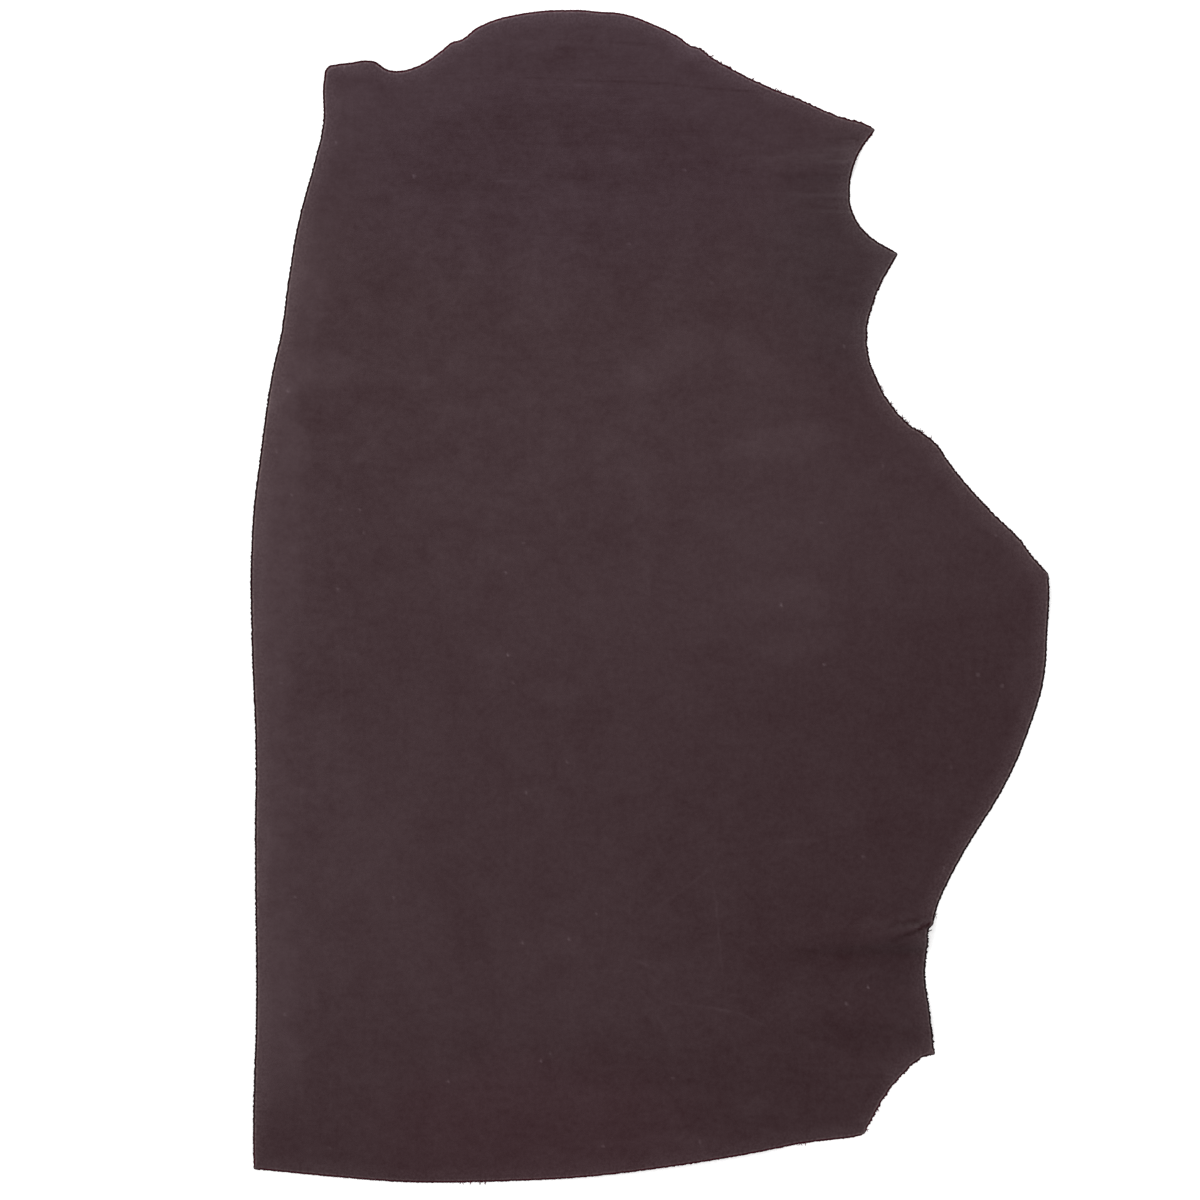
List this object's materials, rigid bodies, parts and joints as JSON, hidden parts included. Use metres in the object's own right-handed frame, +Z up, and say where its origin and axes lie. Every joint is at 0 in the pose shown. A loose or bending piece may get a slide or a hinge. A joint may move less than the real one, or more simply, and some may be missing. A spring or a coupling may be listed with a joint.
{
  "type": "leather hide",
  "caption": "One side of a tanned cattle hide, laid flat with its smooth grain up; natural trimmed outline with leg cuts, for cutting leather pieces from or laying out.",
  "frame": {"origin": "middle of the sheet's bounding box, on the surface it lies on", "axes": "+X from the backbone cut towards the belly, +Y from the neck towards the tail, +Z up out of the grain side"},
  "size_m": [1.2922, 1.9003, 0.0141],
  "materials": {
    "leather": "drum-dyed aubergine brown, waxed full grain, semi-matte, with cloudy pull-up marks; raw fibrous edge and flesh side"
  },
  "bodies": {
    "root": {"hide": "leather"}
  },
  "joints": []
}
